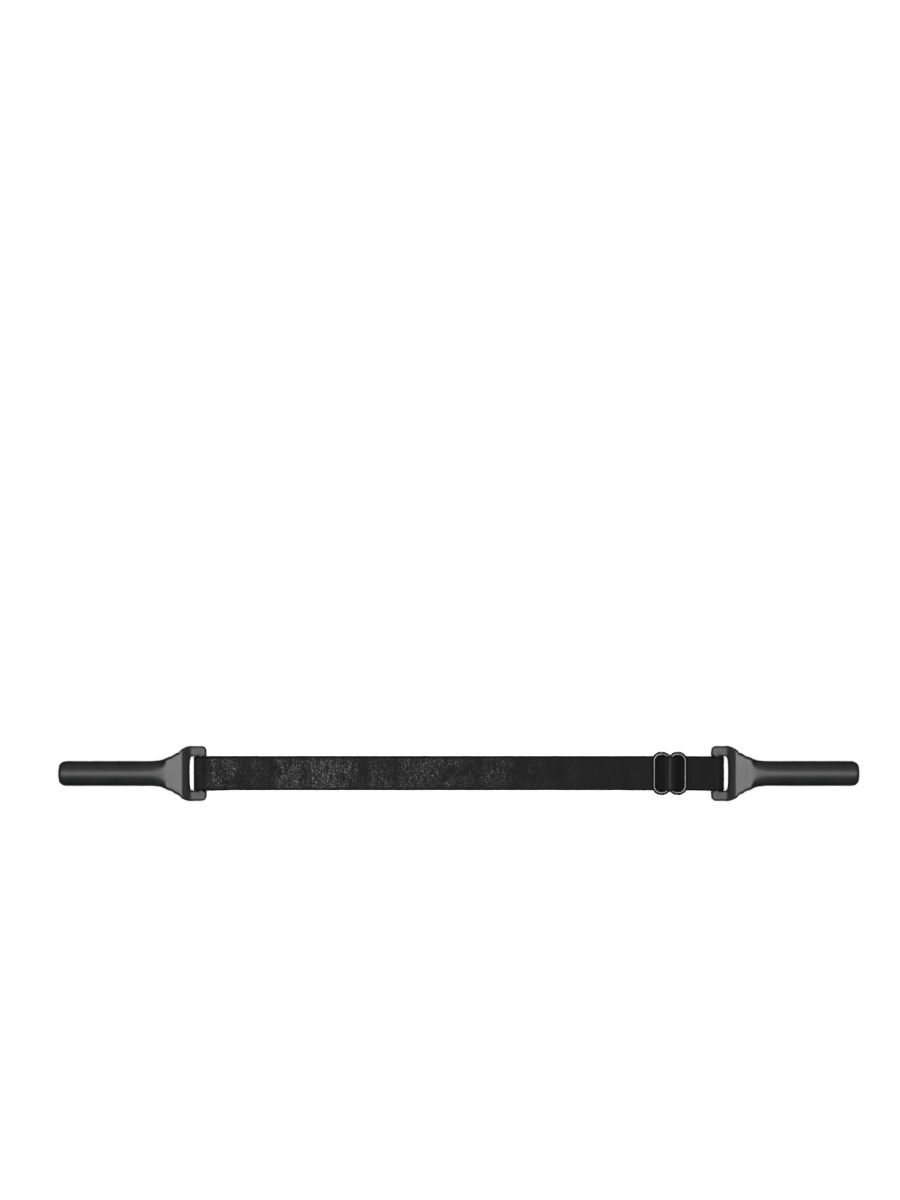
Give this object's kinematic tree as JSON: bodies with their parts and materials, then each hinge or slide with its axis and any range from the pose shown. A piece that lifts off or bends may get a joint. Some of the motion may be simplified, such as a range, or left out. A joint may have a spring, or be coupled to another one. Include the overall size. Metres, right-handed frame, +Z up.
{
  "type": "eyeglasses strap",
  "caption": "Adjustable elastic eyewear retainer strap: silicone temple sleeves with slotted ends, doubled elastic band and a wire figure-eight adjuster.",
  "frame": {"origin": "middle of the footprint on the surface that the straight, flat-laid strap lies on", "axes": "+X along the strap towards the adjuster and the right sleeve, +Y across the band, +Z up out of the surface"},
  "size_m": [0.2904, 0.0198, 0.0089],
  "materials": {
    "silicone": "soft matt moulded silicone",
    "elastic": "black woven elastic with a plush satin face",
    "adjuster": "gloss black enamelled wire",
    "thread": "black polyester sewing thread"
  },
  "bodies": {
    "right_end": {"band_right_loop": "elastic", "band_short_run": "elastic", "right_bar_tack": "thread"},
    "slider": {"slider_ring": "adjuster", "band_slider_wave": "elastic", "band_sewn_end": "elastic", "slider_bar_tack": "thread"},
    "left_loop": {"band_left_loop": "elastic", "band_lower_run": "elastic", "band_upper_run": "elastic"},
    "left_sleeve": {"left_sleeve": "silicone"},
    "right_sleeve": {"right_sleeve": "silicone"}
  },
  "joints": [
    {"name": "adjust_slide", "type": "slide", "parent": "right_end", "child": "slider", "axis": [1, 0, 0], "range_m": [-0.175, 0], "deforming": ["band_short_run"]},
    {"name": "loop_feed", "type": "slide", "parent": "slider", "child": "left_loop", "axis": [1, 0, 0], "range_m": [0, 0.0875], "deforming": ["band_lower_run", "band_upper_run"]},
    {"name": "left_sleeve_pivot", "type": "hinge", "parent": "left_loop", "child": "left_sleeve", "pos_m": [-0.09375, 0, 0.00445], "axis": [0, 1, 0], "range_deg": [0, 100]},
    {"name": "right_sleeve_pivot", "type": "hinge", "parent": "right_end", "child": "right_sleeve", "pos_m": [0.09375, 0, 0.00445], "axis": [0, 1, 0], "range_deg": [-100, 0]}
  ],
  "couplings": [
    {"joint": "loop_feed", "follows": "adjust_slide", "ratio": -0.5}
  ]
}
